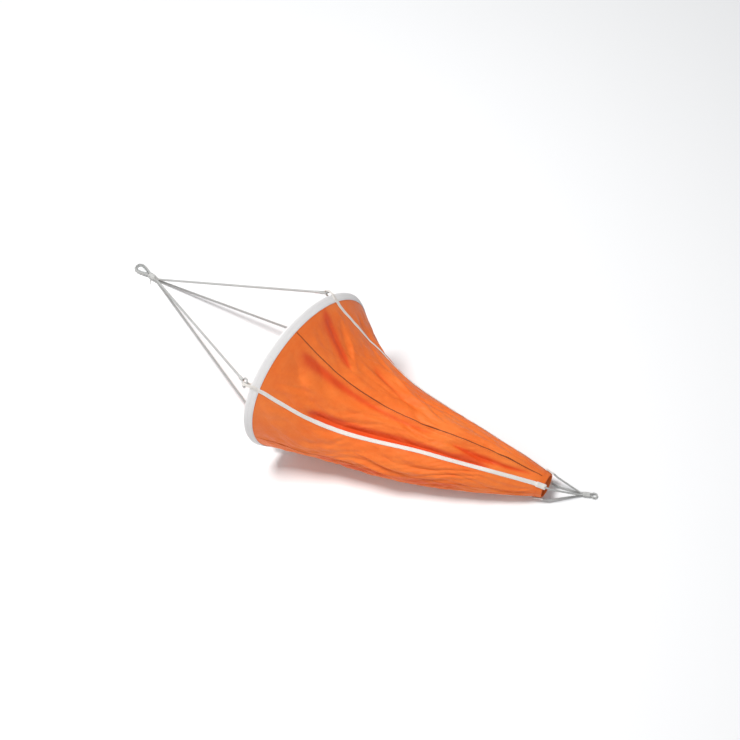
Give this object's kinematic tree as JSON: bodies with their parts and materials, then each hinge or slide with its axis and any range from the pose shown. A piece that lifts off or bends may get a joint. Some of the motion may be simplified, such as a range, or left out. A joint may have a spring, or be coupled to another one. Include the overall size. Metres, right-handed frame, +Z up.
{
  "type": "sea anchor",
  "caption": "Orange cloth cone with a hooped mouth and a small open tail, sewn tapes, a rope bridle that meets at a thimble eye, and a corded tail, laid out on a floor.",
  "frame": {"origin": "middle of the part's box, on the floor it lies on", "axes": "+X from the towing eye towards the tail, along the part's greatest length; +Z up from the floor"},
  "size_m": [1.9206, 0.5972, 0.6054],
  "materials": {
    "gore_1": "coated orange cloth, slight sheen",
    "gore_2": "coated orange cloth, slight sheen",
    "gore_3": "coated orange cloth, slight sheen",
    "gore_4": "coated orange cloth, slight sheen",
    "mouth_hoop": "round rod",
    "mouth_binding": "white woven tape, folded",
    "tail_hem": "folded coated cloth",
    "tape_1": "white woven webbing",
    "tape_2": "white woven webbing",
    "tape_3": "white woven webbing",
    "tape_4": "white woven webbing",
    "becket_1": "white woven webbing",
    "becket_2": "white woven webbing",
    "becket_3": "white woven webbing",
    "becket_4": "white woven webbing",
    "tail_pad_1": "doubled white webbing",
    "tail_pad_2": "doubled white webbing",
    "tail_pad_3": "doubled white webbing",
    "tail_pad_4": "doubled white webbing",
    "leg_eye_1": "laid grey-white rope",
    "leg_eye_2": "laid grey-white rope",
    "leg_eye_3": "laid grey-white rope",
    "leg_eye_4": "laid grey-white rope",
    "bridle_leg_1": "laid grey-white rope",
    "bridle_leg_2": "laid grey-white rope",
    "bridle_leg_3": "laid grey-white rope",
    "bridle_leg_4": "laid grey-white rope",
    "whipping_1": "bound twine",
    "whipping_2": "bound twine",
    "whipping_3": "bound twine",
    "whipping_4": "bound twine",
    "throat_seizing": "bound twine",
    "tail_whipping": "bound twine",
    "tail_cord_1": "grey-white cord",
    "tail_cord_2": "grey-white cord",
    "tail_cord_3": "grey-white cord",
    "tail_cord_4": "grey-white cord",
    "tail_loop": "grey-white cord",
    "towing_eye": "laid grey rope",
    "towing_thimble": "dull galvanised steel"
  },
  "bodies": {
    "sock": {"gore_1": "gore_1", "gore_2": "gore_2", "gore_3": "gore_3", "gore_4": "gore_4", "mouth_hoop": "mouth_hoop", "mouth_binding": "mouth_binding", "tail_hem": "tail_hem", "tape_1": "tape_1", "tape_2": "tape_2", "tape_3": "tape_3", "tape_4": "tape_4", "becket_1": "becket_1", "becket_2": "becket_2", "becket_3": "becket_3", "becket_4": "becket_4", "leg_eye_1": "leg_eye_1", "leg_eye_2": "leg_eye_2", "leg_eye_3": "leg_eye_3", "leg_eye_4": "leg_eye_4", "whipping_1": "whipping_1", "whipping_2": "whipping_2", "whipping_3": "whipping_3", "whipping_4": "whipping_4", "tail_pad_1": "tail_pad_1", "tail_pad_2": "tail_pad_2", "tail_pad_3": "tail_pad_3", "tail_pad_4": "tail_pad_4"},
    "bridle": {"throat_seizing": "throat_seizing", "bridle_leg_1": "bridle_leg_1", "bridle_leg_2": "bridle_leg_2", "bridle_leg_3": "bridle_leg_3", "bridle_leg_4": "bridle_leg_4"},
    "eye": {"towing_eye": "towing_eye", "towing_thimble": "towing_thimble"},
    "tail": {"tail_whipping": "tail_whipping", "tail_loop": "tail_loop", "tail_cord_1": "tail_cord_1", "tail_cord_2": "tail_cord_2", "tail_cord_3": "tail_cord_3", "tail_cord_4": "tail_cord_4"}
  },
  "joints": [
    {"name": "bridle_lift", "type": "hinge", "parent": "sock", "child": "bridle", "pos_m": [-0.07202, 0.02281, 0.09699], "axis": [0.1724, 0.9752, 0.1386], "range_deg": [0, 60], "deforming": ["bridle_leg_1", "bridle_leg_2", "bridle_leg_3", "bridle_leg_4"]},
    {"name": "eye_swing", "type": "hinge", "parent": "bridle", "child": "eye", "pos_m": [-0.88942, 0.20156, 0.0118], "axis": [-0.103, 0.0179, 0.9945], "range_deg": [-35, 35], "deforming": ["towing_eye"]},
    {"name": "tail_lift", "type": "hinge", "parent": "sock", "child": "tail", "pos_m": [0.80424, 0.14202, 0.01381], "axis": [-0.0042, -0.9962, 0.0869], "range_deg": [0, 60], "deforming": ["tail_cord_1", "tail_cord_2", "tail_cord_3", "tail_cord_4"]}
  ]
}
